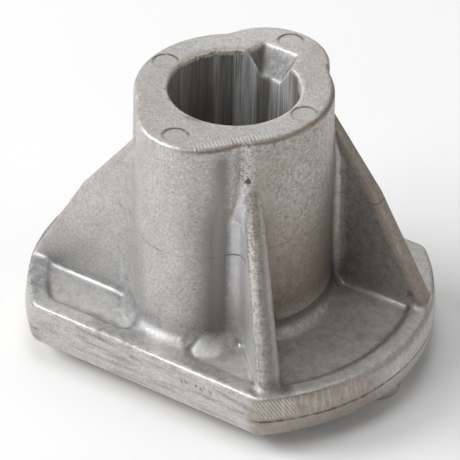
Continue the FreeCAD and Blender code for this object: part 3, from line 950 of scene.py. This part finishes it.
for tint, share, strength in (
    (DARK_MARK_AND_SHADE, lines, 0.9), (DARK_MARK_AND_SHADE, scratches, 0.5), (WEAR_AND_HIGHLIGHT, filed, 0.45), (WEAR_AND_HIGHLIGHT, notches, 0.7),
    (DARK_MARK_AND_SHADE, pits, 0.8),
):
    colour = tinted(colour, tint, product(share, strength))
links.new(colour, shader.inputs["Base Color"])

roughness = total_of(
    ROUGHNESS,
    product(off(lumps), skin, 0.3),
    product(smooth, 0.06),
    product(shade_and_dull, 0.1),
    product(pale, -0.2),
    product(tight, rest_of(shade_and_dull), -0.14),
    product(edge, 0.04),
    product(flecks, -0.1),
    product(mottled_stain_and_shade, 0.1),
    product(pits, 0.3),
)
links.new(roughness, shader.inputs["Roughness"])

relief = total_of(
    product(skin, total_of(product(grain, 0.06), product(frost, 0.01), product(lumps, 0.12))),
    product(smooth, lumps, 0.06),
    product(in_bore, fine_drag, 0.08),
    product(lines, -0.10),
    product(scratches, -0.05),
    product(filed, 0.04),
    product(notches, -0.06),
    product(pits, -0.15),
)
bump = nodes.new("ShaderNodeBump")
bump.inputs["Strength"].default_value = RELIEF_STRENGTH
bump.inputs["Distance"].default_value = 0.001
links.new(relief, bump.inputs["Height"])
links.new(bump.outputs[0], shader.inputs["Normal"])
dull_metal = total_of(product(in_bore, 0.4), product(painted_light, 0.7), product(lip, 0.5))
links.new(calculated("SUBTRACT", METALLIC, dull_metal), shader.inputs["Metallic"])
mesh.materials.append(material)
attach(casting, "root")
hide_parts("blade_adapter")

# Floor: a plain pale sheet that the two pegs stand on. Not part of the object.
SHEET_REACH = 3.0
SHEET_LEVEL = PEG_TIP / 1000
PAPER = (0.95, 0.95, 0.95, 1)
sheet_corners = [(side_x * SHEET_REACH, side_y * SHEET_REACH, SHEET_LEVEL)
                 for side_x, side_y in ((-1, -1), (1, -1), (1, 1), (-1, 1))]
floor_mesh = bpy.data.meshes.new("floor")
floor_mesh.from_pydata(sheet_corners, [], [(0, 1, 2, 3)])
floor = bpy.data.objects.new("floor", floor_mesh)
bpy.context.scene.collection.objects.link(floor)
paper = bpy.data.materials.new("floor_paper")
paper.use_nodes = True
paper.node_tree.nodes["Principled BSDF"].inputs["Base Color"].default_value = PAPER
paper.node_tree.nodes["Principled BSDF"].inputs["Roughness"].default_value = 0.9
floor_mesh.materials.append(paper)

# Light: soft boxes that face the object, the strongest at the left, weaker ones at the front, behind,
# above and at the right, and a pale room around. Each has its place and size in metres and its watts.
LAMP_TARGET = (0, 0, 0.02)
ROOM_LIGHT = 0.2
for name, lamp_place, width, length, watts in (
    ("key", (-1.0, -0.55, 0.85), 0.7, 0.7, 14.2),
    ("front", (-0.36, -0.9, 0.9), 0.5, 0.5, 3.6),
    ("back", (-0.75, 0.95, 0.85), 1.2, 1.0, 3.2),
    ("above", (-0.05, 0.02, 1.25), 0.5, 0.5, 2.8),
    ("right", (1.1, 0.5, 0.5), 0.9, 0.7, 2.2),
):
    lamp = bpy.data.lights.new(name, "AREA")
    lamp.shape = "RECTANGLE"
    lamp.size = width
    lamp.size_y = length
    lamp.energy = watts
    holder = bpy.data.objects.new(name, lamp)
    holder.location = lamp_place
    facing = Vector(LAMP_TARGET) - Vector(lamp_place)
    holder.rotation_euler = facing.to_track_quat("-Z", "Y").to_euler()
    bpy.context.scene.collection.objects.link(holder)
world = bpy.data.worlds.new("room")
bpy.context.scene.world = world
world.use_nodes = True
world.node_tree.nodes["Background"].inputs["Color"].default_value = (1, 1, 1, 1)
world.node_tree.nodes["Background"].inputs["Strength"].default_value = ROOM_LIGHT

# Camera: at the photograph's angle and distance, with a long lens.
TARGET = np.array((5.192, -8.520, 24.486)) / 1000
AZIMUTH, ELEVATION, ROLL = (math.radians(angle) for angle in (33.066, 35.933, 1.023))
DISTANCE = 0.6
FOCAL_PIXELS = 3601.06
FRAME_PIXELS = 460
SENSOR = 36.0
back = np.array((
    math.sin(AZIMUTH) * math.cos(ELEVATION), -math.cos(AZIMUTH) * math.cos(ELEVATION), math.sin(ELEVATION)
))
right = np.array((math.cos(AZIMUTH), math.sin(AZIMUTH), 0))
up = np.cross(back, right)
right, up = math.cos(ROLL) * right + math.sin(ROLL) * up, math.cos(ROLL) * up - math.sin(ROLL) * right
lens = bpy.data.cameras.new("camera")
lens.sensor_width = SENSOR
lens.lens = FOCAL_PIXELS / FRAME_PIXELS * SENSOR
lens.clip_end = 20
camera = bpy.data.objects.new("camera", lens)
placed = Matrix.Identity(4)
for column, axis in enumerate((right, up, back, TARGET + DISTANCE * back)):
    for row in range(3):
        placed[row][column] = axis[row]
camera.matrix_world = placed
bpy.context.scene.collection.objects.link(camera)
bpy.context.scene.camera = camera
bpy.context.scene.view_settings.view_transform = "Standard"
